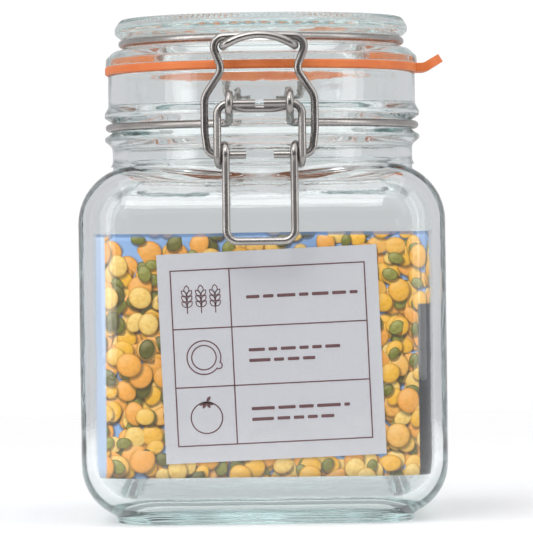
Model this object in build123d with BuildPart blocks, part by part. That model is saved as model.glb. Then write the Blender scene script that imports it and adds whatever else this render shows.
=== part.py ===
from build123d import *
from math import acos, asin, atan2, cos, hypot, radians, sin
import os

# Square clip-top storage jar with a glass lid, a rubber seal and a bent-wire latch.
# Frame: millimetres, +Z up, origin at the centre of the base, latch at the front (-Y),
# lid hinge at the back (+Y), pull tab of the seal on the right (+X).

# ---- Driving dimensions: glass jar
seal_radius = 47.5          # outer radius of the rubber seal, which sets the size of the neck
seal_land = 6.5             # width of the rim that the seal lies on, from its outer edge to the bore
rim_height = 133.3          # height of the rim above the base
rim_round = 1.4
rim_setback = 0.9           # the rim stands this far inside the seal
bead_swell = 0.3            # the two neck beads stand this far outside the seal
waist_setback = 2.0         # the waist under the beads lies this far inside the seal
neck_groove_setback = 2.45  # floor of the wire groove lies this far inside the seal
neck_groove_round = 3.0     # radius of the groove's section
neck_groove_drop = 15.9     # groove below the rim
upper_bead_drop = 11.6      # upper end of the upper bead's crest below the rim
lower_bead_drop = 19.9      # lower end of the lower bead's crest below the rim
bead_slope = 2.0            # height over which a bead runs out into the neck
shoulder_drop = 27.9        # top of the shoulder below the rim
shoulder_step = 6.2         # the flat walls stand this far outside the beads
shoulder_round = 17.0
wall = 4.0
body_corner = 18.0          # plan radius of the body's upright corners
heel_round = 16.0
heel_height = 1.5           # underside of the body above the base
foot_inset = 10.0           # the foot stands this far inside the walls
foot_corner = 12.0
foot_rise = 3.0             # the foot reaches this far up into the body
foot_rim_width = 5.0
foot_recess = 0.9
floor_height = 6.5          # inner floor above the base
floor_round = 12.0

# ---- Driving dimensions: wire
wire_diameter = 2.3
groove_clearance = 0.15     # wire to groove floor
glass_clearance = 0.25      # wire to glass where it passes outside the grooves
pin_gap = 0.7               # radial play of a wire pin inside an eye or a coil
coil_gap = 0.1              # between neighbouring turns of a coil
wire_bend = 2.4             # usual bend radius, to the wire's centre

# ---- Driving dimensions: seal and lid
seal_thickness = 2.6
seal_inner_setback = 1.0    # the seal's bore is this much smaller in radius than the jar's
seal_edge = 0.6
tab_reach = 7.0             # pull tab beyond the seal
tab_width = 14.0
tab_lift = 3.0
tab_corner = 6.0
tab_flat = 2.0              # the tab leaves the seal level for this far before it turns up
tab_root = 1.0              # the tab starts this far inside the seal's edge
tab_bend = 4.0
lid_flange_setback = 0.2
lid_flange_thickness = 2.3
lid_flare_run = 6.3         # width of the sloping top of the flange
lid_flare_rise = 3.1
lid_flange_lip = 0.1
lid_knee_run = 3.7          # the flare falls gently this far out, then rolls over the flange's edge
lid_knee_drop = 0.85
lid_knee_round = 3.0
lid_groove_height = 2.9     # height of the wire groove
lid_bulge = 3.5             # the lid's edge stands this far outside the groove floor
lid_bulge_height = 5.9      # from the groove up to the lid's top
lid_edge_round = 1.8        # bevel above and below the lid's edge
lid_edge_soft = 1.0         # rounding of that bevel's outer corners
lid_top_recess = 0.8
lid_top_rim = 4.0           # width of the raised edge round the top
lid_glass = 5.5             # thickness of the lid's top
boss_clearance = 0.3        # lid boss inside the seal
boss_depth = 3.4            # from the flange down to the lid's lowest point
boss_taper = 0.6
boss_wall = 5.0
boss_round = 1.2
dome_taper = 1.5
dome_round = 5.0

# ---- Driving dimensions: latch and hinge
eye_half_spacing = 8.8      # centre of each front eye from the middle
eye_rise = 5.5              # centre of the front eyes above the neck groove
arm_bend = 3.2              # bend between each pivot pin and its arm
lever_arm = 14.9            # pivot to coil
eye_wrap = 160.0            # each front eye ends this far round, in degrees from its outer side
bar_end_drop = 0.5          # ends of the cross-bar below the pivot
bar_bend = 1.3              # bend between each front eye and the cross-bar
bar_middle_bend = 8.0       # gentle bend between the bar's sloping ends and its middle
neck_corner_out = 0.1       # where the wire turns forward, this far outside the beads
bar_sag = 1.4               # middle of the cross-bar below the pivot
over_centre = 0.3           # the coils stand this far in front of the pivot
handle_half_width = 9.9
handle_length = 25.0        # coil centre down to the middle of the handle's bar
handle_stand_off = 4.0      # clear space between the handle's bar and the flat front wall
handle_corner = 3.5
handle_knee = 1.5           # straight wire below each coil before the handle leans out
knee_bend = 4.0
pin_half_gap = 1.3          # half the gap between the lever's two pin ends
link_side_gap = 0.5         # between the link's feet and the outside of the lever's coils
link_bow = 0.9              # the link at its widest stands this far outside its feet
link_bow_bend = 20.0
link_foot_length = 7.0
link_foot_bend = 3.0
link_wide_length = 17.0     # from the coil centre up to where the link narrows
link_waist_length = 25.0
link_waist_half_width = 10.8
link_waist_bend = 4.0
link_wide_bend = 6.0
link_arch_margin = 1.7      # the link's arch clears the tongue's legs by this much on each side
link_arch_rise = 0.7
link_arch_bend = 3.0
link_end = 4.0              # half the gap between the link's two ends
link_stand_off = 1.7        # link's arch in front of the lid flange
lid_wire_run_out = 1.6      # the lid wire turns out this far outside its ring
flange_clearance = 0.4
tongue_half_width = 10.4
leg_bend = 3.0              # bend where the lid wire's legs and hinge arms turn off the flange
tongue_rise = 3.3
tongue_corner = 1.8         # width left for the bend between the tongue's arc and its legs
tongue_bend = 1.9
tongue_stand_off = 0.9      # tongue in front of the link's arch
hook_gap = 0.35             # link's arch above the tongue's legs
hinge_half_spacing = 9.0
hinge_rise = 9.6            # hinge axis above the neck groove
hinge_arm_half_spacing = 13.0
hinge_pin_end = 4.5

# ---- Driving dimensions: paper insert
paper = 0.4
paper_gap = 0.15
sleeve_drop = 2.9           # top of the sleeve below the start of the shoulder
card_margin_side = 4.0
card_margin_end = 5.0
card_shift = 2.5            # the card stands this far right of the middle
card_tilt = 2.1             # degrees, counter-clockwise seen from the front

# ---- Places that follow from the driving dimensions
wire_radius = wire_diameter / 2
mouth_radius = seal_radius - seal_land
bead_radius = seal_radius + bead_swell
body_half = bead_radius + shoulder_step
body_width = 2 * body_half
shoulder_height = rim_height - shoulder_drop
neck_wire_z = rim_height - neck_groove_drop
neck_groove_floor = seal_radius - neck_groove_setback
neck_wire_ring = neck_groove_floor + groove_clearance + wire_radius

seal_top = rim_height + seal_thickness
seal_bore = mouth_radius - seal_inner_setback
flange_radius = seal_radius - lid_flange_setback
flange_top = seal_top + lid_flange_thickness
lid_groove_floor = flange_radius - lid_flare_run - lid_flange_lip
lid_groove_z0 = flange_top + lid_flare_rise
lid_groove_z1 = lid_groove_z0 + max(lid_groove_height, wire_diameter + 2 * glass_clearance)
lid_wire_z = lid_groove_z1 - glass_clearance - wire_radius
lid_wire_ring = lid_groove_floor + groove_clearance + wire_radius
lid_top = lid_groove_z1 + lid_bulge_height

eye_radius = wire_diameter + pin_gap
eye_stand_off = bead_radius + glass_clearance + wire_radius + eye_radius
pivot_y = -eye_stand_off
pivot_z = neck_wire_z + eye_rise
coil_y = pivot_y - over_centre
coil_z = pivot_z - lever_arm
lever_half_width = handle_half_width + wire_diameter + coil_gap
link_foot_half_width = lever_half_width + wire_diameter + link_side_gap
link_half_width = link_foot_half_width + link_bow
link_arch_half_width = tongue_half_width + wire_diameter + link_arch_margin

tongue_leg_z = flange_top + wire_radius + glass_clearance
arch_y = -(flange_radius + wire_radius + link_stand_off)
arch_corner_z = tongue_leg_z + wire_diameter + hook_gap
tongue_y = arch_y - wire_diameter - tongue_stand_off
hinge_y = eye_stand_off
hinge_z = neck_wire_z + hinge_rise


def leave_ring(ring_radius, x, y):
    """Polar angle at which a tangent from (x, y) touches a circle round the Z axis.

    The angle is measured from the Y axis towards +X, on the side of y, and the tangent is
    the one whose touching point lies further from the Y axis.
    """
    return atan2(x, abs(y)) + acos(ring_radius / hypot(x, y))


def ring_point(ring_radius, angle, side, z):
    """Point of a circle round the Z axis: side is -1 at the front and +1 at the back."""
    return (ring_radius * sin(angle), side * ring_radius * cos(angle), z)


def eye_point(x, y, z, angle, front=-1):
    """Point of an eye's centreline; the angle runs from the outer side over the top."""
    return (x, y + front * eye_radius * cos(angle), z + eye_radius * sin(angle))


def tangent_slope(run, rise):
    """Slope of the line that passes under an eye's centre, seen run away and rise below it."""
    return atan2(rise, run) - asin(eye_radius / hypot(run, rise))


# ---- Glass jar
with BuildPart() as cavity:
    with BuildSketch(Plane.XY.offset(floor_height)):
        RectangleRounded(body_width - 2 * wall, body_width - 2 * wall, body_corner - wall)
    extrude(amount=shoulder_height - wall - floor_height)
    fillet(cavity.faces().sort_by(Axis.Z)[-1].edges(), shoulder_round - wall)
    fillet(cavity.faces().sort_by(Axis.Z)[0].edges(), floor_round)
    with BuildSketch(Plane.XY.offset(shoulder_height - shoulder_round)):
        Circle(mouth_radius)
    extrude(amount=rim_height - shoulder_height + shoulder_round)

neck_section = [
    (mouth_radius, shoulder_height - wall),
    (seal_radius - waist_setback, shoulder_height - wall),
    (seal_radius - waist_setback, rim_height - lower_bead_drop - bead_slope),
    (bead_radius, rim_height - lower_bead_drop),
    (bead_radius, rim_height - upper_bead_drop),
    (seal_radius - rim_setback, rim_height - upper_bead_drop + bead_slope),
    (seal_radius - rim_setback, rim_height),
    (mouth_radius, rim_height),
]
with BuildPart() as jar_body:
    with BuildSketch(Plane.XY.offset(heel_height)):
        RectangleRounded(body_width, body_width, body_corner)
    extrude(amount=shoulder_height - heel_height)
    fillet(jar_body.faces().sort_by(Axis.Z)[-1].edges(), shoulder_round)
    fillet(jar_body.faces().sort_by(Axis.Z)[0].edges(), heel_round)
    with BuildSketch(Plane.XY):
        RectangleRounded(body_width - 2 * foot_inset, body_width - 2 * foot_inset, foot_corner)
    extrude(amount=heel_height + foot_rise)
    with BuildSketch(Plane.XY):
        foot_hollow = body_width - 2 * (foot_inset + foot_rim_width)
        RectangleRounded(foot_hollow, foot_hollow, foot_corner - foot_rim_width)
    extrude(amount=foot_recess, mode=Mode.SUBTRACT)
    with BuildSketch(Plane.XZ):
        with BuildLine():
            Polyline(*neck_section, close=True)
        make_face()
        with Locations((neck_groove_floor + neck_groove_round, neck_wire_z)):
            Circle(neck_groove_round, mode=Mode.SUBTRACT)
    revolve(axis=Axis.Z)
    add(cavity.part, mode=Mode.SUBTRACT)
    fillet(jar_body.edges().group_by(Axis.Z)[-1], rim_round)
jar_body.part.label = "jar_body"

# ---- Neck wire: cross-bar, front eye, groove, back riser and hinge eye, then mirrored
with BuildPart() as neck_wire:
    bar_y = pivot_y + eye_radius
    front_y = -(bead_radius + neck_corner_out)
    slope = tangent_slope(abs(pivot_y) - abs(front_y), pivot_z - neck_wire_z)
    eye_start = slope - radians(90)
    eye_end = radians(eye_wrap)
    eye_top = (eye_start + eye_end) / 2
    bar_corner_z = pivot_z - bar_end_drop
    exit_point = eye_point(eye_half_spacing, pivot_y, pivot_z, eye_end)
    entry_point = eye_point(eye_half_spacing, pivot_y, pivot_z, eye_start)
    run_out = (exit_point[2] - bar_corner_z) * sin(eye_end) / -cos(eye_end)
    front_angle = leave_ring(neck_wire_ring, eye_half_spacing, front_y)
    back_angle = leave_ring(neck_wire_ring, hinge_half_spacing, hinge_y - eye_radius)
    riser_y = hinge_y - eye_radius
    with BuildLine() as neck_path:
        FilletPolyline(
            (0, bar_y, pivot_z - bar_sag),
            (eye_half_spacing / 2, bar_y, pivot_z - bar_sag),
            (eye_half_spacing, exit_point[1] + run_out, bar_corner_z),
            exit_point,
            radius=[bar_middle_bend, bar_bend],
        )
        ThreePointArc(
            exit_point,
            eye_point(eye_half_spacing, pivot_y, pivot_z, eye_top),
            entry_point,
        )
        FilletPolyline(
            entry_point,
            (eye_half_spacing, front_y, neck_wire_z),
            ring_point(neck_wire_ring, front_angle, -1, neck_wire_z),
            radius=wire_bend,
        )
        ThreePointArc(
            ring_point(neck_wire_ring, front_angle, -1, neck_wire_z),
            (neck_wire_ring, 0, neck_wire_z),
            ring_point(neck_wire_ring, back_angle, 1, neck_wire_z),
        )
        FilletPolyline(
            ring_point(neck_wire_ring, back_angle, 1, neck_wire_z),
            (hinge_half_spacing, riser_y, neck_wire_z),
            (hinge_half_spacing, riser_y, hinge_z),
            radius=wire_bend,
        )
        ThreePointArc(
            (hinge_half_spacing, riser_y, hinge_z),
            eye_point(hinge_half_spacing, hinge_y, hinge_z, radians(45), front=1),
            eye_point(hinge_half_spacing, hinge_y, hinge_z, radians(-90), front=1),
        )
    with BuildSketch(Plane(origin=(0, bar_y, pivot_z - bar_sag), z_dir=(1, 0, 0))):
        Circle(wire_radius)
    sweep(path=neck_path.wire())
    mirror(about=Plane.YZ)
neck_wire.part.label = "neck_wire"


# ---- Glass lid, in section: top, grooved edge, flange, boss and hollow underside
bulge_radius = lid_groove_floor + lid_bulge
top_edge_radius = bulge_radius - lid_edge_round
boss_radius = seal_bore - boss_clearance
boss_end = seal_top - boss_depth
boss_foot = boss_radius - boss_taper
dome_radius = boss_foot - boss_wall
lid_section = [
    (0, lid_top - lid_top_recess),
    (top_edge_radius - lid_top_rim - lid_top_recess, lid_top - lid_top_recess),
    (top_edge_radius - lid_top_rim, lid_top),
    (top_edge_radius, lid_top),
    (bulge_radius, lid_top - lid_edge_round),
    (bulge_radius, lid_groove_z1 + lid_edge_round),
    (bulge_radius - lid_edge_round, lid_groove_z1),
    (lid_groove_floor, lid_groove_z1),
    (lid_groove_floor, lid_groove_z0),
    (lid_groove_floor + lid_knee_run, lid_groove_z0 - lid_knee_drop),
    (lid_groove_floor + lid_flare_run, flange_top),
    (flange_radius, flange_top),
    (flange_radius, seal_top),
    (boss_radius, seal_top),
    (boss_radius, rim_height),
    (boss_foot, boss_end),
    (dome_radius, boss_end),
    (dome_radius - dome_taper, lid_top - lid_top_recess - lid_glass),
    (0, lid_top - lid_top_recess - lid_glass),
]
with BuildPart() as glass_lid:
    with BuildSketch(Plane.XZ) as lid_sketch:
        with BuildLine():
            Polyline(*lid_section, close=True)
        make_face()
        outer_corners = [v for v in lid_sketch.vertices() if abs(v.X - bulge_radius) < 0.01]
        fillet(outer_corners, lid_edge_soft)
        knee = [v for v in lid_sketch.vertices() if abs(v.X - lid_groove_floor - lid_knee_run) < 0.01]
        fillet(knee, lid_knee_round)
        boss_corners = [v for v in lid_sketch.vertices() if abs(v.Y - boss_end) < 0.01]
        fillet(boss_corners, boss_round)
        dome_corners = [v for v in lid_sketch.vertices()
                        if abs(v.X - dome_radius + dome_taper) < 0.01 and v.Y < lid_top - lid_glass]
        fillet(dome_corners, dome_round)
    revolve(axis=Axis.Z)
glass_lid.part.label = "glass_lid"

# ---- Rubber seal with its pull tab turned up past the flange
seal_middle_z = rim_height + seal_thickness / 2
tab_path = [
    (seal_radius - tab_root, seal_middle_z),
    (seal_radius + tab_flat, seal_middle_z),
    (seal_radius + tab_reach, seal_middle_z + tab_lift),
]
with BuildPart() as rubber_seal:
    with BuildSketch(Plane.XZ) as seal_sketch:
        with Locations(((seal_bore + seal_radius) / 2, seal_middle_z)):
            Rectangle(seal_radius - seal_bore, seal_thickness)
        fillet([v for v in seal_sketch.vertices() if v.X > seal_radius - 0.01], seal_edge)
    revolve(axis=Axis.Z)
    with BuildSketch(Plane.XZ.offset(-tab_width / 2)):
        with BuildLine() as tab_line:
            FilletPolyline(*tab_path, radius=tab_bend)
        trace(tab_line.wire(), line_width=seal_thickness)
    extrude(amount=tab_width)
    fillet(rubber_seal.edges().filter_by(GeomType.LINE).sort_by(Axis.X)[-4:].filter_by(
        Axis.Y, reverse=True), tab_corner)
rubber_seal.part.label = "rubber_seal"


# ---- Lid wire: tongue, front leg, lid groove, hinge arm and hinge pin, then mirrored
corner_radius = lid_wire_ring + lid_wire_run_out
leg_root_y = -((corner_radius**2 - tongue_half_width**2) ** 0.5)
arm_root_y = (corner_radius**2 - hinge_arm_half_spacing**2) ** 0.5
flange_edge_y = flange_radius + flange_clearance
leg_angle = leave_ring(lid_wire_ring, tongue_half_width, leg_root_y)
arm_angle = leave_ring(lid_wire_ring, hinge_arm_half_spacing, arm_root_y)
tongue_round = (tongue_half_width**2 + tongue_rise**2) / (2 * tongue_rise)
tongue_end_angle = asin((tongue_half_width - tongue_corner) / tongue_round)
tongue_end_drop = tongue_corner * sin(tongue_end_angle) / cos(tongue_end_angle)
tongue_centre_z = tongue_leg_z + tongue_end_drop - tongue_round * cos(tongue_end_angle)


def tongue_point(angle):
    """Point of the tongue's arc, at an angle from its top."""
    x = tongue_round * sin(angle)
    return (x, tongue_y, tongue_centre_z + tongue_round * cos(angle))


with BuildPart() as lid_wire:
    with BuildLine() as lid_path:
        ThreePointArc(
            tongue_point(0),
            tongue_point(tongue_end_angle / 2),
            tongue_point(tongue_end_angle),
        )
        FilletPolyline(
            tongue_point(tongue_end_angle),
            (tongue_half_width, tongue_y, tongue_leg_z),
            (tongue_half_width, -flange_edge_y, tongue_leg_z),
            (tongue_half_width, leg_root_y, lid_wire_z),
            ring_point(lid_wire_ring, leg_angle, -1, lid_wire_z),
            radius=[tongue_bend, leg_bend, wire_bend],
        )
        ThreePointArc(
            ring_point(lid_wire_ring, leg_angle, -1, lid_wire_z),
            (lid_wire_ring, 0, lid_wire_z),
            ring_point(lid_wire_ring, arm_angle, 1, lid_wire_z),
        )
        FilletPolyline(
            ring_point(lid_wire_ring, arm_angle, 1, lid_wire_z),
            (hinge_arm_half_spacing, arm_root_y, lid_wire_z),
            (hinge_arm_half_spacing, flange_edge_y, tongue_leg_z),
            (hinge_arm_half_spacing, hinge_y, tongue_leg_z),
            (hinge_arm_half_spacing, hinge_y, hinge_z),
            (hinge_pin_end, hinge_y, hinge_z),
            radius=[wire_bend, leg_bend, wire_bend, wire_bend],
        )
    with BuildSketch(Plane(origin=tongue_point(0), z_dir=(1, 0, 0))):
        Circle(wire_radius)
    sweep(path=lid_path.wire())
    mirror(about=Plane.YZ)
lid_wire.part.label = "lid_wire"

# ---- Latch lever: handle bar, one-turn coil, arm and pivot pin, then mirrored
# The arm runs from the pivot down the front of the coil; arm_lean is its angle from upright.
coil_distance = hypot(pivot_y - coil_y, pivot_z - coil_z)
arm_lean = atan2(pivot_y - coil_y, pivot_z - coil_z) + asin(eye_radius / coil_distance)
coil_front = (-eye_radius * cos(arm_lean), eye_radius * sin(arm_lean))
arm_down = Vector(0, -sin(arm_lean), -cos(arm_lean))
turn_shift = (wire_diameter + coil_gap) / 2


def coil_point(side, x):
    """Front (side 1) or back (side -1) of the coil, on the diameter across the arm."""
    return Vector(x, coil_y + side * coil_front[0], coil_z - side * coil_front[1])


handle_z = coil_z - handle_length
handle_y = -(body_half + handle_stand_off + wire_radius)
coil_in = coil_point(1, lever_half_width)
coil_back = coil_point(-1, lever_half_width - turn_shift)
coil_out = coil_point(1, handle_half_width)
coil_under = Vector((coil_in + coil_back) * 0.5) + arm_down * hypot(eye_radius, turn_shift / 2)
coil_over = Vector((coil_out + coil_back) * 0.5) - arm_down * hypot(eye_radius, turn_shift / 2)
handle_top = coil_out + arm_down * handle_knee
with BuildPart() as latch_lever:
    with BuildLine() as lever_path:
        FilletPolyline(
            (0, handle_y, handle_z),
            (handle_half_width, handle_y, handle_z),
            handle_top,
            coil_out,
            radius=[handle_corner, knee_bend],
        )
        ThreePointArc(coil_out, coil_over, coil_back)
        ThreePointArc(coil_back, coil_under, coil_in)
        FilletPolyline(
            coil_in,
            (lever_half_width, pivot_y, pivot_z),
            (pin_half_gap, pivot_y, pivot_z),
            radius=arm_bend,
        )
    with BuildSketch(Plane(origin=(0, handle_y, handle_z), z_dir=(1, 0, 0))):
        Circle(wire_radius)
    sweep(path=lever_path.wire())
    mirror(about=Plane.YZ)
latch_lever.part.label = "latch_lever"

# ---- Latch link: a flat frame that leans from the coils to the arch behind the tongue
link_rise = arch_corner_z - coil_z
link_length = hypot(arch_y - coil_y, link_rise)
link_plane = Plane(origin=(0, coil_y, coil_z), x_dir=(1, 0, 0),
                   z_dir=(0, -link_rise, arch_y - coil_y))
with BuildPart() as latch_link:
    with BuildLine(link_plane) as link_path:
        FilletPolyline(
            (0, link_length + link_arch_rise),
            (link_arch_half_width, link_length),
            (link_waist_half_width, link_waist_length),
            (link_half_width, link_wide_length),
            (link_half_width, link_foot_length),
            (link_foot_half_width, 0),
            (link_end, 0),
            radius=[link_arch_bend, link_waist_bend, link_wide_bend, link_bow_bend, link_foot_bend],
        )
    with BuildSketch(Plane(origin=link_path.wire() @ 0, z_dir=(1, 0, 0))):
        Circle(wire_radius)
    sweep(path=link_path.wire())
    mirror(about=Plane.YZ)
latch_link.part.label = "latch_link"

# ---- Paper insert: folded sleeve open at the back, and a card in front of it
sleeve_set_in = 2 * paper_gap + paper
floor_curve = floor_round - (floor_round**2 - (floor_round - sleeve_set_in) ** 2) ** 0.5
sleeve_z0 = floor_height + floor_curve + paper_gap
sleeve_z1 = shoulder_height - shoulder_round - sleeve_drop
sleeve_half = body_half - wall - sleeve_set_in
sleeve_corner = body_corner - wall - sleeve_set_in
card_half_width = body_half - body_corner - card_margin_side
card_half_height = (sleeve_z1 - sleeve_z0) / 2 - card_margin_end
with BuildPart() as paper_sleeve:
    with BuildSketch(Plane.XY.offset(sleeve_z0)):
        RectangleRounded(2 * sleeve_half, 2 * sleeve_half, sleeve_corner)
        offset(amount=-paper, mode=Mode.SUBTRACT)
        with Locations((0, sleeve_half)):
            Rectangle(2 * sleeve_half, 2 * sleeve_corner, mode=Mode.SUBTRACT)
    extrude(amount=sleeve_z1 - sleeve_z0)
paper_sleeve.part.label = "paper_sleeve"

card_centre = (card_shift, -(sleeve_half + paper_gap), (sleeve_z0 + sleeve_z1) / 2)
with BuildPart() as info_card:
    with BuildSketch(Plane(origin=card_centre, x_dir=(1, 0, 0), z_dir=(0, -1, 0))):
        Rectangle(2 * card_half_width, 2 * card_half_height, rotation=card_tilt)
    extrude(amount=paper)
info_card.part.label = "info_card"

# ---- One file per piece
pieces = (jar_body, neck_wire, glass_lid, lid_wire, rubber_seal, latch_lever, latch_link,
          paper_sleeve, info_card)
os.makedirs("parts", exist_ok=True)
for piece in pieces:
    export_step(piece.part, f"parts/{piece.part.label}.step")
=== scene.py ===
import math
import random

import bpy
from mathutils import Matrix, Vector


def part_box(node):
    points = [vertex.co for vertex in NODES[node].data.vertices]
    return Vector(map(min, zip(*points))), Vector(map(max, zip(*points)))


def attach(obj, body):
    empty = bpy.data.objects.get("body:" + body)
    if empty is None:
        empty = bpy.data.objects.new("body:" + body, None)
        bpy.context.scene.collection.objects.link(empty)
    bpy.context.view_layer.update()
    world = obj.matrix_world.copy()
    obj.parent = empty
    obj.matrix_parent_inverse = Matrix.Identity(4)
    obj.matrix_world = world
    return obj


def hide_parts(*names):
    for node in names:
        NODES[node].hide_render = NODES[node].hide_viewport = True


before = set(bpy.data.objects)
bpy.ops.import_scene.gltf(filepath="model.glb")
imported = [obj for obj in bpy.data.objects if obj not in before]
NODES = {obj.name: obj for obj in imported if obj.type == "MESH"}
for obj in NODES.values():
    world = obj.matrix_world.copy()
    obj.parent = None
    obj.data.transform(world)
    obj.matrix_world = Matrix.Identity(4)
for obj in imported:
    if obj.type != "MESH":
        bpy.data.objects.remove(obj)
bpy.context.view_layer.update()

MM = 0.001
RNG = random.Random(7)
scene = bpy.context.scene

# ------------------------------------------------------------------ sizes, read from the frame
JAR_HIGH = Vector(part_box("jar_body")[1])
LID_HIGH = Vector(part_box("glass_lid")[1])
SEAL_LOW = Vector(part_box("rubber_seal")[0])
SLEEVE_LOW, SLEEVE_HIGH = (Vector(c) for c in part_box("paper_sleeve"))
CARD_LOW, CARD_HIGH = (Vector(c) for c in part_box("info_card"))
BODY_HALF = JAR_HIGH.x
RIM_Z = JAR_HIGH.z
SEAL_RADIUS = -SEAL_LOW.x
SEAL_THICKNESS = 2.6 * MM    # the frame's box holds the lifted pull tab too, so this is stated
SEAL_TOP = RIM_Z + SEAL_THICKNESS

# ------------------------------------------------------------------ small tools


def link(obj, body):
    """Adds a finished piece to the scene and lets it ride on its body."""
    scene.collection.objects.link(obj)
    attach(obj, body)
    return obj


def mesh_object(name, vertices, faces, smooth=True):
    """A new object with a mesh of its own, not yet in the scene."""
    mesh = bpy.data.meshes.new(name)
    mesh.from_pydata(vertices, [], faces)
    mesh.validate()
    if smooth:
        mesh.shade_smooth()
    return bpy.data.objects.new(name, mesh)


def rounded_path(points, radii, step=math.radians(9)):
    """Points of a 2-D line whose inner corners are replaced by arcs of the given radii."""
    out = [Vector(points[0])]
    for before, corner, after, radius in zip(points, points[1:], points[2:], radii):
        here = Vector(corner)
        back = (Vector(before) - here).normalized()
        ahead = (Vector(after) - here).normalized()
        turn = math.pi - back.angle(ahead)
        if radius <= 0 or turn < 0.01:
            out.append(here)
            continue
        reach = radius * math.tan(turn / 2)
        centre = here + (back + ahead).normalized() * (radius / math.cos(turn / 2))
        start = here + back * reach - centre
        count = max(2, math.ceil(turn / step))
        sign = 1 if back.x * ahead.y - back.y * ahead.x < 0 else -1
        for i in range(count + 1):
            angle = sign * turn * i / count
            out.append(centre + Matrix.Rotation(angle, 2) @ start)
    out.append(Vector(points[-1]))
    return out


def subdivided(path, longest):
    """The same line with points added, so that no stretch is longer than the given length."""
    out = [path[0]]
    for a, b in zip(path, path[1:]):
        parts = max(1, math.ceil((b - a).length / longest))
        out.extend(a.lerp(b, i / parts) for i in range(1, parts + 1))
    return out


def rings_mesh(name, rings, cap_start, cap_end):
    """A surface through rings of equal count; a cap is the point that closes an end, or None."""
    count = len(rings[0])
    vertices = [v for ring in rings for v in ring]
    faces = []
    for r in range(len(rings) - 1):
        for i in range(count):
            j = (i + 1) % count
            faces.append((r * count + i, r * count + j, (r + 1) * count + j, (r + 1) * count + i))
    for cap, row, flip in ((cap_start, 0, True), (cap_end, len(rings) - 1, False)):
        if cap is None:
            continue
        centre = len(vertices)
        vertices.append(cap)
        for i in range(count):
            edge = (row * count + i, row * count + (i + 1) % count)
            faces.append((edge[1], edge[0], centre) if flip else (edge[0], edge[1], centre))
    return mesh_object(name, vertices, faces)


# ------------------------------------------------------------------ jar glass
# Heights and radii in millimetres, as the jar is drawn; the body is a rounded square whose
# corners shrink with it over the heel and the shoulder, and the neck is round.
ROUND_COUNT = 256
BODY = BODY_HALF / MM
RIM = RIM_Z / MM
SEAL = SEAL_RADIUS / MM
CORNER = 18.0
WALL = 4.0
SHOULDER_ROUND = 17.0
SHOULDER_TOP = RIM - 27.9
HEEL_ROUND = 16.0
HEEL_Z = 1.5
WALL_Z0 = HEEL_Z + HEEL_ROUND
WALL_Z1 = SHOULDER_TOP - SHOULDER_ROUND
FLOOR_ROUND = 12.0
FLOOR_Z = 6.5
FLOOR_CROWN = 0.5           # the floor rises this much to its middle
FLOOR_FLAT = BODY - WALL - FLOOR_ROUND
FOOT = BODY - 10.0
RECESS = 0.9                # the underside lies this far above the foot's rim
MOUTH = SEAL - 6.5
WAIST = SEAL - 2.0
BEAD = SEAL + 0.3
NECK = SEAL - 0.9
GROOVE_FLOOR = SEAL - 2.45
GROOVE_Z = RIM - 15.9
NECK_BLEND = 3.0            # how softly the square shoulder runs into the round neck
WAIST_REACH = 9.0           # the waist shapes the shoulder's outside this far below its top
BORE_REACH = 8.0            # the bore shapes the shoulder's inside this far below its top
OUTER_RIPPLE = -0.012
NECK_RIPPLE = 0.01
BORE_RIPPLE = 0.035
CAVITY_RIPPLE = 0.03
ARC_STEPS = 24              # levels over the shoulder
HEEL_STEPS = 16
WALL_STEPS = 24
CAVITY_STEPS = 27
FLOOR_STEPS = 14


def square_reach(angle, half, corner):
    """Distance from the axis to a rounded square in one direction."""
    u = max(abs(math.cos(angle)), abs(math.sin(angle)))
    v = min(abs(math.cos(angle)), abs(math.sin(angle)))
    corner = max(0.05, min(corner, half))
    flat = half - corner
    if half * v / u <= flat:
        return half / u
    middle = flat * (u + v)
    return middle + math.sqrt(max(0.0, middle * middle - 2 * flat * flat + corner * corner))


def smooth_max(a, b, blend):
    """The larger of two numbers, with a soft change from one to the other."""
    h = max(blend - abs(a - b), 0.0) / blend
    return max(a, b) + h * h * blend * 0.25


def jar_ring(z, half, corner, round_radius=0.0, blend=1.0, ripple=0.0):
    """One level of the jar: a rounded square joined to a circle, with a slight ripple.

    With half at zero the level is a plain circle, and with round_radius at zero a plain square.
    """
    ring = []
    for i in range(ROUND_COUNT):
        angle = 2 * math.pi * i / ROUND_COUNT
        reach = round_radius
        if half > 0:
            square = square_reach(angle, half, corner)
            reach = smooth_max(square, round_radius, blend) if round_radius > 0 else square
        # three uneven waves round and up the glass, so that the ripple doesn't repeat
        wave = math.sin(3 * angle + 0.11 * z) + 0.7 * math.sin(5 * angle - 0.17 * z + 1.3)
        wave += 0.5 * math.sin(0.31 * z + 2.0 * math.sin(angle))
        reach += ripple * wave
        ring.append(Vector((reach * math.cos(angle), reach * math.sin(angle), z)) * MM)
    return ring


def foot_and_heel():
    """The recessed underside, the rim it stands on, and the heel up to the walls."""
    rings = [jar_ring(RECESS, half, CORNER / 2) for half in (6, 14, 22, 30, 36)]
    # height, distance inside the foot's edge, and corner radius
    rim = (
        (RECESS, 5.8, 8), (0.6, 5.1, 8), (0.15, 4.7, 8), (0, 4.2, 9), (0, 1.4, 11),
        (0.15, 0.6, 11.5), (0.6, 0.1, 12), (1.2, 0, 12), (2.0, 0, 11),
    )
    for z, inset, corner in rim:
        rings.append(jar_ring(z, FOOT - inset, corner))
    first = math.asin((FOOT - BODY + HEEL_ROUND) / HEEL_ROUND)
    for i in range(1, HEEL_STEPS + 1):
        t = first + (math.pi / 2 - first) * i / HEEL_STEPS
        half = BODY - HEEL_ROUND + HEEL_ROUND * math.sin(t)
        z = HEEL_Z + HEEL_ROUND * (1 - math.cos(t))
        rings.append(jar_ring(z, half, CORNER - (BODY - half)))
    return rings


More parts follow.
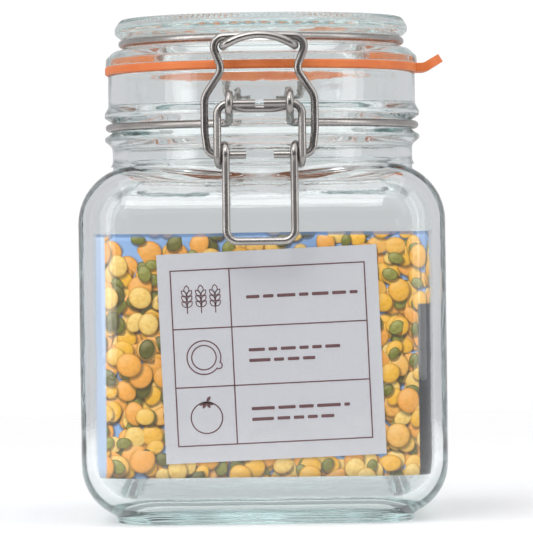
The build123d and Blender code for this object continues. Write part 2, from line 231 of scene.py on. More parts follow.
def walls_and_shoulder():
    """The outside of the body, up to where the shoulder meets the waist of the neck."""
    rings = []
    for i in range(1, WALL_STEPS):
        z = WALL_Z0 + (WALL_Z1 - WALL_Z0) * i / WALL_STEPS
        rings.append(jar_ring(z, BODY, CORNER, ripple=OUTER_RIPPLE))
    for i in range(ARC_STEPS + 1):
        t = math.pi / 2 * i / ARC_STEPS
        half = BODY - SHOULDER_ROUND + SHOULDER_ROUND * math.cos(t)
        z = WALL_Z1 + SHOULDER_ROUND * math.sin(t)
        waist = WAIST if z > SHOULDER_TOP - WAIST_REACH else 0
        rings.append(jar_ring(z, half, CORNER - (BODY - half), waist, NECK_BLEND))
    return rings


def neck_and_bore():
    """From the waist over both beads and the rim, then down the bore."""
    neck = [
        (WAIST + 0.6, SHOULDER_TOP + 0.2), (WAIST, SHOULDER_TOP + 1.6), (WAIST, RIM - 21.9),
        (BEAD, RIM - 19.9), (BEAD, GROOVE_Z - 3.0), (GROOVE_FLOOR, GROOVE_Z - 1.2),
        (GROOVE_FLOOR, GROOVE_Z + 1.2), (BEAD, GROOVE_Z + 3.0), (BEAD, RIM - 11.6),
        (NECK, RIM - 9.6), (NECK, RIM), (MOUTH, RIM), (MOUTH, SHOULDER_TOP - 1.0),
    ]
    neck_rounds = [2.0, 2.5, 0.9, 0.6, 1.0, 1.0, 0.6, 0.9, 2.0, 0.6, 0.6]
    longest = 1.5
    rings = []
    for r, z in subdivided(rounded_path(neck, neck_rounds), longest):
        inside = r < MOUTH + 0.5 and z < RIM - 2
        rings.append(jar_ring(z, 0, 0, r, ripple=BORE_RIPPLE if inside else NECK_RIPPLE))
    return rings


def cavity():
    """The inside of the shoulder and the walls, and the floor."""
    inner = BODY - WALL
    inner_round = SHOULDER_ROUND - WALL
    rings = []
    for i in range(1, ARC_STEPS + 1):
        t = math.pi / 2 * (1 - i / ARC_STEPS)
        half = inner - inner_round + inner_round * math.cos(t)
        z = WALL_Z1 + inner_round * math.sin(t)
        bore = MOUTH if z > SHOULDER_TOP - WALL - BORE_REACH else 0
        corner = CORNER - WALL - (inner - half)
        rings.append(jar_ring(z, half, corner, bore, NECK_BLEND, ripple=CAVITY_RIPPLE))
    low = FLOOR_Z + FLOOR_ROUND
    for i in range(1, CAVITY_STEPS + 1):
        z = WALL_Z1 + (low - WALL_Z1) * i / CAVITY_STEPS
        rings.append(jar_ring(z, inner, CORNER - WALL, ripple=CAVITY_RIPPLE))
    for i in range(1, FLOOR_STEPS + 1):
        t = math.pi / 2 * i / FLOOR_STEPS
        half = inner - FLOOR_ROUND + FLOOR_ROUND * math.cos(t)
        z = low - FLOOR_ROUND * math.sin(t)
        rings.append(jar_ring(z, half, CORNER - WALL - (inner - half)))
    for half in (34, 28, 20, 12, 5):
        z = FLOOR_Z + FLOOR_CROWN * (1 - half / FLOOR_FLAT) ** 2
        rings.append(jar_ring(z, half, CORNER / 2))
    return rings


def jar_mesh():
    """The whole jar as one closed skin, from the underside round to the inner floor."""
    rings = foot_and_heel() + walls_and_shoulder() + neck_and_bore() + cavity()
    under = Vector((0, 0, RECESS)) * MM
    floor = Vector((0, 0, FLOOR_Z + FLOOR_CROWN)) * MM
    return rings_mesh("jar_glass", rings, under, floor)


# ------------------------------------------------------------------ lid glass
FLANGE = SEAL - 0.2
SEAT = SEAL_TOP / MM
FLANGE_TOP = SEAT + 2.3
LID_FLOOR = FLANGE - 6.4
LID_GROOVE_Z0 = FLANGE_TOP + 3.1
LID_GROOVE_Z1 = LID_GROOVE_Z0 + 2.9
LID_TOP = LID_HIGH.z / MM
LID_FACE = LID_TOP - 0.8    # the top face lies below the raised edge round it
LID_UNDER = LID_FACE - 5.5  # roof of the hollow underside
BULGE = LID_FLOOR + 3.5
LID_EDGE = BULGE - 1.8
LID_POLE = 0.5              # radius of the smallest ring round the axis
BOSS = MOUTH - 1.3
BOSS_FOOT = BOSS - 0.6
BOSS_END = SEAT - 3.4
BOSS_INSIDE = BOSS_FOOT - 5.0
KNURLS = 150
KNURL_SAMPLES = 4
KNURL_DEPTH = 0.45
KNURL_INSET = 0.28
KNURL_BAND = 2.0            # the ribs reach this far in from the lid's edge


def lid_mesh():
    """The lid turned about its axis, with fine ribs round its top edge."""
    profile = [
        # top face and the raised edge round it
        (LID_POLE, LID_FACE), (LID_EDGE - 5.0, LID_FACE), (LID_EDGE - 4.2, LID_TOP - 0.1),
        (LID_EDGE - 0.2, LID_TOP - 0.1), (LID_EDGE + 0.5, LID_TOP - 0.7),
        # bulging side and the wire groove under it
        (BULGE, LID_TOP - 2.6), (BULGE, LID_GROOVE_Z1 + 1.5), (LID_EDGE, LID_GROOVE_Z1),
        (LID_FLOOR, LID_GROOVE_Z1), (LID_FLOOR, LID_GROOVE_Z0),
        # flange
        (LID_FLOOR + 3.9, LID_GROOVE_Z0 - 0.8), (FLANGE - 0.1, FLANGE_TOP), (FLANGE, SEAT),
        # boss and hollow underside
        (BOSS, SEAT), (BOSS, RIM), (BOSS_FOOT, BOSS_END), (BOSS_INSIDE, BOSS_END),
        (BOSS_INSIDE - 1.5, LID_UNDER), (LID_POLE, LID_UNDER),
    ]
    rounds = [0.4, 0.4, 0.5, 0.5, 1.2, 1.0, 0.6, 0.8, 0.8, 2.4, 0.9, 0.2, 0.2, 0.8, 1.2, 1.2, 5.0]
    longest = 1.2
    count = KNURLS * KNURL_SAMPLES
    rings = []
    for r, z in subdivided(rounded_path(profile, rounds), longest):
        on_edge = r > LID_EDGE - KNURL_BAND and z > LID_TOP - 1.2
        ring = []
        for i in range(count):
            angle = 2 * math.pi * i / count
            between = 0.5 - 0.5 * math.cos(KNURLS * angle) if on_edge else 0.0
            reach = r - KNURL_INSET * between
            level = z - KNURL_DEPTH * between
            ring.append(Vector((reach * math.cos(angle), reach * math.sin(angle), level)) * MM)
        rings.append(ring)
    top = Vector((0, 0, LID_FACE)) * MM
    under = Vector((0, 0, LID_UNDER)) * MM
    return rings_mesh("lid_glass_piece", rings[::-1], under, top)


jar_piece = link(jar_mesh(), "jar")
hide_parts("jar_body")
lid_piece = link(lid_mesh(), "lid")
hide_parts("glass_lid")

# ------------------------------------------------------------------ materials


class Nodes:
    """A short way to write a node tree."""

    def __init__(self, tree):
        self.tree = tree

    def add(self, kind, settings=None, **inputs):
        """Adds a node; an input is named with _ for a space, or by number as i0, i1 and so on."""
        node = self.tree.nodes.new("ShaderNode" + kind)
        for key, value in (settings or {}).items():
            setattr(node, key, value)
        for key, value in inputs.items():
            numbered = key[0] == "i" and key[1:].isdigit()
            socket = int(key[1:]) if numbered else key.replace("_", " ")
            self.set(node.inputs[socket], value)
        return node

    def set(self, socket, value):
        """Gives a socket a value, or links it to a socket or a node's first output."""
        if isinstance(value, bpy.types.NodeSocket):
            self.tree.links.new(value, socket)
        elif isinstance(value, bpy.types.Node):
            self.tree.links.new(value.outputs[0], socket)
        else:
            socket.default_value = value

    def math(self, operation, a, b=0.0, c=0.0, clamp=False):
        node = self.add("Math", {"operation": operation, "use_clamp": clamp}, i0=a, i1=b)
        if operation == "MULTIPLY_ADD":
            self.set(node.inputs[2], c)
        return node.outputs[0]

    def vector(self, operation, a, b=(0.0, 0.0, 0.0)):
        node = self.add("VectorMath", {"operation": operation}, i0=a)
        if operation != "LENGTH":
            self.set(node.inputs[1], b)
        return node.outputs["Value" if operation == "LENGTH" else "Vector"]

    def mix(self, factor, a, b, blend="MIX"):
        node = self.add("Mix", {"data_type": "RGBA", "blend_type": blend})
        self.set(node.inputs[0], factor)
        self.set(node.inputs[6], a)
        self.set(node.inputs[7], b)
        return node.outputs[2]

    def span(self, value, low, high, to_low=0.0, to_high=1.0, smooth=True):
        """Maps value from low..high to to_low..to_high, held at the ends."""
        node = self.add("MapRange", {"interpolation_type": "SMOOTHSTEP" if smooth else "LINEAR"})
        for index, item in enumerate((value, low, high, to_low, to_high)):
            self.set(node.inputs[index], item)
        return node.outputs[0]


class MaterialNodes(Nodes):
    """A new material and its node tree."""

    def __init__(self, name):
        self.material = bpy.data.materials.new(name)
        self.material.use_nodes = True
        super().__init__(self.material.node_tree)
        self.tree.nodes.clear()
        self.output = self.tree.nodes.new("ShaderNodeOutputMaterial")

    def place(self):
        """Where a point lies in its object, in metres."""
        return self.add("TexCoord").outputs["Object"]

    def noise(self, place, scale, detail, roughness=0.5):
        """An uneven pattern from 0 to 1."""
        settings = {"Scale": scale, "Detail": detail, "Roughness": roughness}
        return self.add("TexNoise", Vector=place, **settings).outputs["Fac"]

    def surface(self, shader):
        """Ends the material with its shader."""
        self.set(self.output.inputs["Surface"], shader)
        return self.material


def dress(obj, material):
    """Gives an object one material in place of those it had."""
    obj.data.materials.clear()
    obj.data.materials.append(material)


CLEAR_TINT = (0.965, 0.985, 0.98, 1)
DEEP_TINT = (0.48, 0.78, 0.78, 1)
SHADOW_TINT = (0.93, 0.95, 0.95, 1)


def glass_material(name, ripple_scale, ripple):
    """Clear pressed glass: faint ripple and seeds in the surface, and open to shadow rays."""
    n = MaterialNodes(name)
    place = n.place()
    slow = n.noise(place, ripple_scale, 2.0, 0.45)
    fine = n.noise(place, 900.0, 2.0)
    height = n.math("MULTIPLY_ADD", fine, 0.04, slow)
    bump = n.add("Bump", Height=height, Strength=ripple, Distance=0.0006)
    haze = n.span(fine, 0.35, 0.75, 0.008, 0.035)
    glass = n.add("BsdfPrincipled", IOR=1.5, Roughness=haze, Normal=bump)
    n.set(glass.inputs["Base Color"], CLEAR_TINT)
    n.set(glass.inputs["Transmission Weight"], 1.0)
    clear = n.add("BsdfTransparent", Color=SHADOW_TINT)
    shadow_ray = n.add("LightPath").outputs["Is Shadow Ray"]
    depth = n.add("VolumeAbsorption", Color=DEEP_TINT, Density=5.5)
    n.set(n.output.inputs["Volume"], depth.outputs[0])
    return n.surface(n.add("MixShader", i0=shadow_ray, i1=glass, i2=clear))


def wire_material():
    """Bright drawn stainless wire: fine scratches, a soft sheen and a few duller patches."""
    n = MaterialNodes("stainless_wire")
    place = n.place()
    grain = n.noise(place, 2600.0, 3.0, 0.6)
    patch = n.noise(place, 90.0, 3.0)
    bright, dull, scratch = (0.41, 0.388, 0.37, 1), (0.32, 0.302, 0.289, 1), (0.29, 0.275, 0.265, 1)
    colour = n.mix(n.span(patch, 0.35, 0.7), bright, dull)
    colour = n.mix(n.span(grain, 0.45, 0.75, 0.0, 0.35), colour, scratch)
    rough = n.math("ADD", n.span(patch, 0.3, 0.7, 0.2, 0.3), n.span(grain, 0.3, 0.7, 0.0, 0.09))
    bump = n.add("Bump", Height=grain, Strength=0.22, Distance=0.00006)
    metal = n.add("BsdfPrincipled", Metallic=1.0, Roughness=rough, Normal=bump)
    n.set(metal.inputs["Base Color"], colour)
    return n.surface(metal)


def rubber_material():
    """Soft orange rubber with a matt moulded skin and a little bloom."""
    n = MaterialNodes("orange_rubber")
    place = n.place()
    skin = n.noise(place, 1800.0, 3.0, 0.55)
    bloom = n.noise(place, 120.0, 4.0, 0.6)
    colour = n.mix(n.span(bloom, 0.35, 0.7), (0.64, 0.145, 0.026, 1), (0.70, 0.195, 0.048, 1))
    rough = n.span(bloom, 0.3, 0.7, 0.42, 0.58)
    bump = n.add("Bump", Height=skin, Strength=0.25, Distance=0.00008)
    rubber = n.add("BsdfPrincipled", Roughness=rough, Normal=bump)
    n.set(rubber.inputs["Base Color"], colour)
    n.set(rubber.inputs["Subsurface Weight"], 0.12)
    n.set(rubber.inputs["Subsurface Radius"], (0.004, 0.0015, 0.0006))
    return n.surface(rubber)


def paper_material(name, colour):
    """Plain paper or card with a faint tone and relief from its fibres."""
    n = MaterialNodes(name)
    fibre = n.noise(n.place(), 1500.0, 4.0, 0.6)
    darker = tuple(c * 0.95 for c in colour[:3]) + (1,)
    bump = n.add("Bump", Height=fibre, Strength=0.2, Distance=0.00004)
    paper = n.add("BsdfPrincipled", Roughness=0.6, Normal=bump)
    n.set(paper.inputs["Base Color"], n.mix(n.span(fibre, 0.3, 0.7), colour, darker))
    return n.surface(paper)


dress(jar_piece, glass_material("jar_glass", 55.0, 0.35))
dress(lid_piece, glass_material("lid_glass", 70.0, 0.3))
steel = wire_material()
for wire in ("neck_wire", "lid_wire", "latch_lever", "latch_link"):
    dress(NODES[wire], steel)
dress(NODES["rubber_seal"], rubber_material())

# ------------------------------------------------------------------ paper insert
PAPER = 0.35 * MM
SLEEVE_CORNER = 13.3 * MM
SLEEVE_FLAT = SLEEVE_HIGH.x - SLEEVE_CORNER
SIDE_START = SLEEVE_FLAT + SLEEVE_CORNER * math.pi / 2
SHEET_MAP = "sheet"
FRONT_STEPS = 18
CORNER_STEPS = 16
SIDE_STEPS = 36
SHEET_ROWS = 30


def sleeve_line():
    """Plan of the sleeve's outer face from the back left, across the front, to the back right.

    Each point comes with its outward direction and its distance along the sheet, which is
    zero at the middle of the front.
    """
    half, back = SLEEVE_HIGH.x, SLEEVE_HIGH.y
    flat = SLEEVE_FLAT
    right = []
    for i in range(FRONT_STEPS + 1):
        along = flat * i / FRONT_STEPS
        right.append((Vector((along, -half)), Vector((0, -1)), along))
    for i in range(1, CORNER_STEPS + 1):
        angle = math.pi / 2 * i / CORNER_STEPS
        out = Vector((math.sin(angle), -math.cos(angle)))
        place = Vector((flat, -flat)) + out * SLEEVE_CORNER
        right.append((place, out, flat + SLEEVE_CORNER * angle))
    for i in range(1, SIDE_STEPS + 1):
        length = (back + flat) * i / SIDE_STEPS
        right.append((Vector((half, -flat + length)), Vector((1, 0)), SIDE_START + length))
    left = [(Vector((-p.x, p.y)), Vector((-o.x, o.y)), -d) for p, o, d in right[:0:-1]]
    return left + right


def sheet_dent(along, share):
    """How far the paper stands in from the wall: uneven, and more so towards its top edge."""
    wave = math.sin(along * 61 + 1.1) + 0.7 * math.sin(along * 137 + share * 2.2)
    wave += 0.5 * math.sin(share * 5.1 + along * 30)
    return 0.00016 * (wave + 2.2) * (0.35 + 0.65 * share ** 2)


def sleeve_mesh():
    """A thin printed sheet that waves slightly inwards, open at the back."""
    line = sleeve_line()
    rows = SHEET_ROWS
    low, high = SLEEVE_LOW.z, SLEEVE_HIGH.z
    vertices, uvs = [], []
    for depth in (0.0, PAPER):
        for row in range(rows + 1):
            share = row / rows
            z = low + (high - low) * share
            for place, out, along in line:
                spot = place - out * (depth + sheet_dent(along, share))
                lift = 0.00018 * math.sin(along * 95 + 0.6) * share
                vertices.append((spot.x, spot.y, min(z + lift, high)))
                uvs.append((along, z))
    wide = len(line)
    layer = wide * (rows + 1)
    outer, inner, edges = [], [], []
    for row in range(rows):
        for i in range(wide - 1):
            a = row * wide + i
            outer.append((a, a + 1, a + 1 + wide, a + wide))
            inner.append((a + layer, a + layer + wide, a + layer + 1 + wide, a + layer + 1))
        for i, flip in ((0, False), (wide - 1, True)):
            a = row * wide + i
            quad = (a, a + wide, a + layer + wide, a + layer)
            edges.append(quad[::-1] if flip else quad)
    for i in range(wide - 1):
        edges.append((i + 1, i, i + layer, i + layer + 1))
        top = rows * wide + i
        edges.append((top, top + 1, top + layer + 1, top + layer))
    sheet = mesh_object("printed_sleeve", vertices, outer + inner + edges)
    loops = sheet.data.uv_layers.new(name=SHEET_MAP)
    for loop in sheet.data.loops:
        loops.data[loop.index].uv = uvs[loop.vertex_index]
    for face in sheet.data.polygons:
        face.material_index = 0 if face.index < len(outer) else 1
        face.use_smooth = face.index < len(outer) + len(inner)
    return sheet


# Tones of the printed pulses: two usual ones, that of the largest, and that of edges and specks.
PEA_TONES = ((1.0, 0.53, 0.045, 1), (1.0, 0.68, 0.20, 1), (1.0, 0.44, 0.085, 1), (0.70, 0.26, 0.02, 1))
LENTIL_TONES = (
    (0.23, 0.22, 0.035, 1), (0.36, 0.34, 0.07, 1), (0.16, 0.14, 0.03, 1), (0.035, 0.032, 0.01, 1),
)
SHADOW_TONE = (0.05, 0.028, 0.012, 1)
GLINT_TONE = (1.0, 0.90, 0.55, 1)
SHADOW_SHIFT = (-0.0003, 0.0006, 0)
SIZE_SPREAD = 0.22          # a pulse's radius varies by this share up and down
SEED_SHIFT = (0.0137, 0.0291)   # moves each scatter's pattern on from the one before


def crowding(n, spot):
    """How thickly the pulses lie: heaped up to near the top edge, and sparse on the sides."""
    split = n.add("SeparateXYZ", Vector=spot)
    drift = n.add("TexNoise", Vector=spot, Scale=70.0, Detail=1.0).outputs["Fac"]
    height = n.math("MULTIPLY_ADD", drift, 0.030, split.outputs["Y"])
    low = n.span(height, 0.0885, 0.0985, 1.0, 0.30)
    side = n.span(n.math("ABSOLUTE", split.outputs["X"]), SIDE_START - 0.004, SIDE_START + 0.004, 1.0, 0.4)
    return n.math("MULTIPLY", low, side)


def pulses(n, sheet, ground, seed, spacing, radius, squash, share, tones):
    """One scatter of peas or lentils over the ground: domed, dark at the edge, with a shadow."""
    shift = (SEED_SHIFT[0] * seed, SEED_SHIFT[1] * seed, 0.0)
    moved = n.vector("ADD", sheet, shift)
    flat_cells = {"voronoi_dimensions": "2D"}
    cells = n.add("TexVoronoi", flat_cells, Vector=moved, Scale=1 / spacing, Randomness=0.62)
    chance = n.add("SeparateColor", Color=cells.outputs["Color"])
    turn, grow, pick = chance.outputs
    offset = n.vector("SUBTRACT", moved, cells.outputs["Position"])
    centre = n.vector("SUBTRACT", cells.outputs["Position"], shift)
    smallest, largest = radius * (1 - SIZE_SPREAD), radius * (1 + SIZE_SPREAD)
    size = n.span(grow, 0.0, 1.0, smallest, largest, smooth=False)
    angle = n.math("MULTIPLY", turn, 2 * math.pi)

    def reach(away):
        """Distance from the pulse's middle, as a share of its own radius that way."""
        turned = n.add("VectorRotate", {"rotation_type": "Z_AXIS"}, Vector=away, Angle=angle)
        flat = n.vector("MULTIPLY", turned, (1.0, squash, 0.0))
        return n.math("DIVIDE", n.vector("LENGTH", flat), size)

    r = reach(offset)
    there = n.math("LESS_THAN", pick, n.math("MULTIPLY", crowding(n, centre), share))
    shadow = n.span(reach(n.vector("ADD", offset, SHADOW_SHIFT)), 0.92, 1.28, 0.72, 0.0)
    ground = n.mix(n.math("MULTIPLY", shadow, there), ground, SHADOW_TONE)
    split = n.add("SeparateXYZ", Vector=offset)
    lean = n.math("MULTIPLY_ADD", split.outputs["X"], -0.5, split.outputs["Y"])
    light = n.math("MULTIPLY_ADD", n.math("DIVIDE", lean, size), 0.12, 0.96)
    dome = n.math("SUBTRACT", light, n.math("MULTIPLY", n.math("POWER", r, 5.0), 0.14))
    first, second, large, dark = tones
    tone = n.mix(n.span(turn, 0.3, 0.7), first, second)
    tone = n.mix(n.span(grow, 0.55, 0.8), tone, large)
    mottle = n.noise(moved, 900.0, 2.0)
    tone = n.mix(n.span(mottle, 0.35, 0.75, 0.0, 0.35), tone, dark)
    tone = n.mix(n.span(r, 0.84, 1.0, 0.0, 0.75), tone, dark)
    bright = n.add("CombineColor", i0=dome, i1=dome, i2=dome)
    lit = n.mix(1.0, tone, bright, blend="MULTIPLY")
    lit = n.mix(n.span(dome, 0.94, 1.06, 0.0, 0.22), lit, GLINT_TONE)
    inside = n.span(r, 0.96, 1.02, 1.0, 0.0)
    return n.mix(n.math("MULTIPLY", inside, there), ground, lit)


# Where the picture changes along the sheet and up it, in metres.
BLANK_EDGE = -SLEEVE_FLAT - 0.0105
# painted shade: near black from this far past the right corner, up to the height on the next line
PAINTED_SHADE_EDGE = SLEEVE_FLAT + 0.0092
PAINTED_SHADE_TOP = 0.0640
TOP_LINE = SLEEVE_HIGH.z - 0.0012


def printed_material():
    """Printed picture of split peas and lentils on pale blue, with a plain pale panel past the left
    corner, and painted shade, near black, past the right corner up to a set height.
    """
    n = MaterialNodes("printed_pulses")
    sheet = n.add("UVMap", {"uv_map": SHEET_MAP}).outputs["UV"]
    split = n.add("SeparateXYZ", Vector=sheet)
    along, height = split.outputs["X"], split.outputs["Y"]
    cloud = n.noise(sheet, 40.0, 2.0)
    colour = n.mix(n.span(cloud, 0.3, 0.7), (0.24, 0.38, 0.66, 1), (0.33, 0.48, 0.76, 1))
    # seed, spacing and radius in millimetres, squash, share of the places taken, and tones
    scatters = (
        (1, 7.2, 3.0, 1.12, 1.0, PEA_TONES), (2, 6.8, 2.9, 1.25, 1.0, PEA_TONES),
        (3, 6.4, 2.5, 1.35, 0.8, LENTIL_TONES), (4, 7.4, 3.1, 1.05, 0.95, PEA_TONES),
        (5, 7.0, 3.0, 1.30, 0.85, PEA_TONES), (6, 6.6, 2.4, 1.40, 0.55, LENTIL_TONES),
        (7, 8.4, 3.2, 1.10, 0.60, PEA_TONES), (8, 8.0, 2.4, 1.30, 0.45, LENTIL_TONES),
        (9, 10.5, 3.3, 1.05, 0.50, PEA_TONES),
    )
    for seed, spacing, radius, squash, share, tones in scatters:
        colour = pulses(n, sheet, colour, seed, spacing * MM, radius * MM, squash, share, tones)
    blank = n.span(along, BLANK_EDGE, BLANK_EDGE + 0.0007, 1.0, 0.0)
    pale = n.mix(cloud, (0.42, 0.52, 0.72, 1), (0.56, 0.64, 0.80, 1))
    colour = n.mix(blank, colour, pale)
    # painted shade: the sheet turns near black past the right corner, below the shade's top
    beside = n.span(along, PAINTED_SHADE_EDGE, PAINTED_SHADE_EDGE + 0.0005)
    below = n.span(height, PAINTED_SHADE_TOP, PAINTED_SHADE_TOP + 0.0005, 1.0, 0.0)
    colour = n.mix(n.math("MULTIPLY", beside, below), colour, (0.018, 0.018, 0.022, 1))
    edge = n.span(height, TOP_LINE, TOP_LINE + 0.0005, 0.0, 0.75)
    colour = n.mix(edge, colour, (0.10, 0.17, 0.33, 1))
    fibre = n.noise(sheet, 1400.0, 3.0)
    bump = n.add("Bump", Height=fibre, Strength=0.1, Distance=0.00003)
    ink = n.add("BsdfPrincipled", Roughness=n.span(fibre, 0.3, 0.7, 0.42, 0.55), Normal=bump)
    n.set(ink.inputs["Specular IOR Level"], 0.3)
    n.set(ink.inputs["Base Color"], colour)
    return n.surface(ink)


sleeve = link(sleeve_mesh(), "jar")
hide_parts("paper_sleeve")
sleeve.data.materials.append(printed_material())
sleeve.data.materials.append(paper_material("paper_back", (0.80, 0.80, 0.79, 1)))
dress(NODES["info_card"], paper_material("card", (0.62, 0.59, 0.625, 1)))

# ------------------------------------------------------------------ what is printed on the card
# Drawn in millimetres in the card's own plane, from its centre, x to the right and z up.
CARD_TILT = math.radians(2.1)
CARD_MIDDLE = (CARD_LOW + CARD_HIGH) / 2
INK = 0.04 * MM
LINE = 0.38
FINE_LINE = 0.28
FRAME_X = 28.2
FRAME_Z = 25.5
DIVIDER_X = -11.1
ICON_X = -19.6
TEXT_X = -6.5
ROW = 2 * FRAME_Z / 3
WORD_HEIGHT = 0.95
WORD_CORNER = 0.3
WORD_GAP = 1.0


class Print:
    """Collects thin raised shapes of ink and turns them into one mesh on the card."""

    def __init__(self):
        self.vertices, self.faces = [], []

    def place(self, x, z, proud):
        """Adds a point in front of the card's face, or just behind it, and returns its number."""
        flat = Matrix.Rotation(CARD_TILT, 2) @ Vector((x, z)) * MM
        y = CARD_LOW.y + (-INK if proud else INK / 2)
        self.vertices.append((CARD_MIDDLE.x + flat.x, y, CARD_MIDDLE.z + flat.y))
        return len(self.vertices) - 1

    def fill(self, outline):
        """A filled shape; its outline runs counter-clockwise."""
        front = [self.place(x, z, True) for x, z in outline]
        back = [self.place(x, z, False) for x, z in outline]
        self.faces.append(front)
        self.faces.append(back[::-1])
        for i in range(len(outline)):
            j = (i + 1) % len(outline)
            self.faces.append((front[i], back[i], back[j], front[j]))

    def stroke(self, points, closed=False, width=LINE):
        """A line of even width along the points."""
        spots = [Vector(p) for p in points]
        count = len(spots)
        left, right = [], []
        for i, spot in enumerate(spots):
            before = spots[i - 1] if closed or i else spot
            after = spots[(i + 1) % count] if closed or i < count - 1 else spot
            a = (spot - before).normalized() if before != spot else (after - spot).normalized()
            b = (after - spot).normalized() if after != spot else a
            across = Vector((-(a + b).y, (a + b).x)).normalized()
            spread = width / 2 / max(0.5, across.dot(Vector((-b.y, b.x))))
            left.append(spot + across * spread)
            right.append(spot - across * spread)
        last = count if closed else count - 1
        # left and right side of the line, each in front and at the back
        lf, lb, rf, rb = (
            [self.place(p.x, p.y, proud) for p in side]
            for side in (left, right) for proud in (True, False)
        )
        for i in range(last):
            j = (i + 1) % count
            self.faces.append((rf[i], rf[j], lf[j], lf[i]))
            self.faces.append((lb[i], lb[j], rb[j], rb[i]))
            self.faces.append((lf[i], lf[j], lb[j], lb[i]))
            self.faces.append((rb[i], rb[j], rf[j], rf[i]))
        if not closed:
            self.faces.append((rf[0], lf[0], lb[0], rb[0]))
            self.faces.append((lf[-1], rf[-1], rb[-1], lb[-1]))


def circle(x, z, radius, count=48, start=0.0, sweep=2 * math.pi):
    """Points of a circle, or of an arc with both of its ends."""
    points = []
    for i in range(count if sweep == 2 * math.pi else count + 1):
        angle = start + sweep * i / count
        points.append((x + radius * math.cos(angle), z + radius * math.sin(angle)))
    return points


def leaf(x, z, angle, length, width, count=8):
    """Pointed oval from (x, z), in the direction of the angle."""
    outline = []
    for side in (-1, 1):
        for i in range(count):
            t = i / count if side < 0 else 1 - i / count
            along, across = t * length, side * width / 2 * math.sin(math.pi * t) ** 0.8
            outline.append((x + along * math.cos(angle) - across * math.sin(angle),
                            z + along * math.sin(angle) + across * math.cos(angle)))
    return outline


def wheat_ear(ink, x, z):
    """A stalk with a grain at its tip and three pairs of grains below."""
    ink.stroke([(x, z - 4.1), (x, z + 1.3)], width=0.3)
    ink.stroke(leaf(x, z + 1.7, math.radians(90), 2.4, 1.5), closed=True, width=FINE_LINE)
    for level in (-2.2, -0.6, 1.0):
        for side in (-1, 1):
            grain = leaf(x + side * 0.15, z + level, math.radians(90 - side * 38), 2.1, 1.15)
            ink.stroke(grain, closed=True, width=FINE_LINE)


def tomato(ink, x, z, radius):
    """A round fruit with a stalk and four small leaves."""
    ink.stroke(circle(x, z, radius), closed=True)
    for angle, length in ((52, 2.0), (205, 2.3), (240, 2.3), (298, 2.2), (335, 2.3)):
        ink.fill(leaf(x + 0.1, z + radius + 0.1, math.radians(angle), length, 0.95))


def seal_ring(ink, x, z, outer, inner):
    """Two circles, the outer one with a small round tab at its lower right."""
    tab = math.radians(-30)
    gap = math.radians(11)
    tab_x, tab_z = x + outer * math.cos(tab), z + outer * math.sin(tab)
    rim = circle(x, z, outer, 56, tab + gap, 2 * math.pi - 2 * gap)
    bulge = circle(tab_x, tab_z, 0.95, 10, tab - math.radians(85), math.radians(170))
    ink.stroke(rim + bulge, closed=True)
    ink.stroke(circle(x, z, inner), closed=True)


def rounded_bar(x, z, width):
    """Outline of a bar with rounded corners, from x to the right, with its middle at z."""
    left, right = x + WORD_CORNER, x + width - WORD_CORNER
    low, high = z - WORD_HEIGHT / 2 + WORD_CORNER, z + WORD_HEIGHT / 2 - WORD_CORNER
    outline = []
    for cx, cz, start in ((right, high, 0), (left, high, 90), (left, low, 180), (right, low, 270)):
        outline += circle(cx, cz, WORD_CORNER, 3, math.radians(start), math.pi / 2)
    return outline


def word_bars(ink, x, z, length):
    """Rounded bars of uneven length that stand for one line of print."""
    end = x + length
    while x < end - 1.5:
        width = min(RNG.uniform(2.4, 7.0), end - x)
        ink.fill(rounded_bar(x, z, width))
        x += width + WORD_GAP


def card_print():
    """A framed table of three rows, each with an icon and one or two lines of bars."""
    ink = Print()
    half = LINE / 2
    corners = [(-FRAME_X, -FRAME_Z), (FRAME_X, -FRAME_Z), (FRAME_X, FRAME_Z), (-FRAME_X, FRAME_Z)]
    ink.stroke(corners, closed=True)
    ink.stroke([(DIVIDER_X, -FRAME_Z + half), (DIVIDER_X, FRAME_Z - half)])
    for z in (-ROW / 2, ROW / 2):
        ink.stroke([(-FRAME_X + half, z), (FRAME_X - half, z)])
    for i in (-1, 0, 1):
        wheat_ear(ink, ICON_X + 4.1 * i, ROW)
    seal_ring(ink, ICON_X, 0.0, 4.9, 3.55)
    tomato(ink, ICON_X, -ROW - 0.5, 4.55)
    lines = ((ROW, 32.4), (1.6, 29.0), (-1.5, 19.2), (-ROW + 1.5, 28.6), (-ROW - 1.6, 24.3))
    for z, length in lines:
        word_bars(ink, TEXT_X, z, length)
    return mesh_object("card_print", ink.vertices, ink.faces, smooth=False)


def ink_material():
    """Dull brown ink, slightly uneven."""
    n = MaterialNodes("brown_ink")
    grain = n.noise(n.place(), 2500.0, 2.0)
    ink = n.add("BsdfPrincipled", Roughness=n.span(grain, 0.3, 0.7, 0.45, 0.6))
    n.set(ink.inputs["Base Color"], n.mix(grain, (0.115, 0.035, 0.04, 1), (0.16, 0.06, 0.065, 1)))
    return n.surface(ink)


drawing = link(card_print(), "jar")
dress(drawing, ink_material())

# ------------------------------------------------------------------ floor, light and camera
FLOOR_RADIUS = 0.9
ROOM = (0.64, 0.632, 0.65, 1)
MIRRORED_ROOM = (0.68, 0.68, 0.69, 1)
DARK_ZONE = (0.04, 0.04, 0.042, 1)
SURROUND = (1.02, 1.02, 1.02, 1)


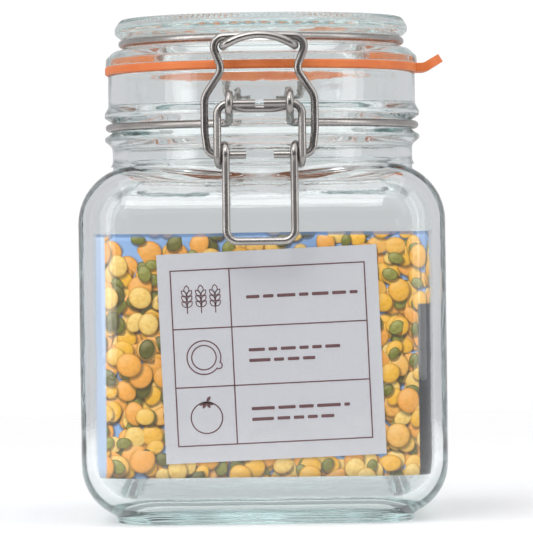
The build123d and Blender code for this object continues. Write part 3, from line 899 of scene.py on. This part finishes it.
def studio_floor():
    """A pale round floor that fades out towards its edge."""
    count = 64
    rings = []
    for share in (1.0, 0.5, 0.2):
        reach = FLOOR_RADIUS * share
        angles = [2 * math.pi * i / count for i in range(count)]
        rings.append([Vector((reach * math.cos(a), reach * math.sin(a), 0.0)) for a in angles])
    floor = rings_mesh("studio_floor", rings, None, Vector((0, 0, 0)))
    scene.collection.objects.link(floor)
    n = MaterialNodes("studio_white")
    place = n.place()
    mottle = n.noise(place, 3.0, 2.0)
    white = n.add("BsdfPrincipled", Roughness=0.9)
    n.set(white.inputs["Base Color"], n.mix(mottle, (0.90, 0.90, 0.90, 1), (0.93, 0.93, 0.93, 1)))
    fade = n.span(n.vector("LENGTH", place), 0.12, 0.75)
    nothing = n.add("BsdfTransparent")
    dress(floor, n.surface(n.add("MixShader", i0=fade, i1=white, i2=nothing)))


def studio_world():
    """A white surround for the camera, and a dimmer room for all other rays.

    Reflections also see a dark zone level with the object, on the camera's side of it.
    """
    world = bpy.data.worlds.new("studio_room")
    world.use_nodes = True
    scene.world = world
    w = Nodes(world.node_tree)
    sky = w.tree.nodes["Background"]
    rays = w.add("LightPath").outputs
    toward = w.add("SeparateXYZ", Vector=w.add("TexCoord").outputs["Generated"])
    level = w.span(w.math("ABSOLUTE", toward.outputs["Z"]), 0.15, 0.60, 1.0, 0.0)
    facing = w.span(toward.outputs["Y"], -0.85, -0.35, 1.0, 0.0)
    mirrored = w.mix(w.math("MULTIPLY", level, facing), MIRRORED_ROOM, DARK_ZONE)
    # a refracted ray counts as glossy too, so the transmission rays are taken away
    reflected = w.math("SUBTRACT", rays["Is Glossy Ray"], rays["Is Transmission Ray"], clamp=True)
    room = w.mix(reflected, ROOM, mirrored)
    w.set(sky.inputs["Color"], w.mix(rays["Is Camera Ray"], room, SURROUND))


def studio_lamps():
    """Four soft rectangular lamps, above, left, right and in front."""
    # place, aim, width, height and power
    lamps = {
        "top_lamp": ((0, -0.2, 1.3), (0, 0, 0.1), 1.3, 1.1, 6.0),
        "left_lamp": ((-1.0, -0.5, 0.5), (0, 0, 0.08), 0.5, 1.1, 4.0),
        "right_lamp": ((1.05, -0.35, 0.5), (0, 0, 0.08), 0.4, 1.1, 3.0),
        "front_lamp": ((-0.3, -1.0, 1.15), (0, 0, 0.08), 0.9, 0.5, 6.0),
    }
    for name, (spot, aim, width, tall, power) in lamps.items():
        data = bpy.data.lights.new(name, "AREA")
        data.shape = "RECTANGLE"
        data.size = width
        data.size_y = tall
        data.energy = power
        lamp = bpy.data.objects.new(name, data)
        lamp.location = spot
        lamp.rotation_euler = (Vector(aim) - Vector(spot)).to_track_quat("-Z", "Y").to_euler()
        scene.collection.objects.link(lamp)


def light_bounces():
    """Light turns many times inside thick glass, and its edges go black if it is cut off early."""
    scene.cycles.max_bounces = 32
    scene.cycles.glossy_bounces = 20
    scene.cycles.transmission_bounces = 28


def camera():
    """Nearly level, from the front, with a long lens and a slight roll."""
    sensor = 36
    distance = 1.1
    frame_width = 0.1622        # width of the view at the object's axis
    height = 0.0904
    sideways = 0.0008
    azimuth = math.radians(0.7)
    tilt_down = math.radians(0.81)
    roll = math.radians(-0.75)
    data = bpy.data.cameras.new("camera")
    data.sensor_width = sensor
    data.lens = sensor * distance / frame_width
    obj = bpy.data.objects.new("camera", data)
    obj.location = (distance * math.sin(azimuth) + sideways, -distance * math.cos(azimuth), height)
    obj.rotation_euler = (math.radians(90) - tilt_down, 0, azimuth)
    obj.matrix_world = obj.matrix_basis @ Matrix.Rotation(roll, 4, "Z")
    scene.collection.objects.link(obj)
    scene.camera = obj


studio_floor()
studio_world()
studio_lamps()
light_bounces()
camera()
scene.view_settings.view_transform = "Standard"
scene.view_settings.look = "None"
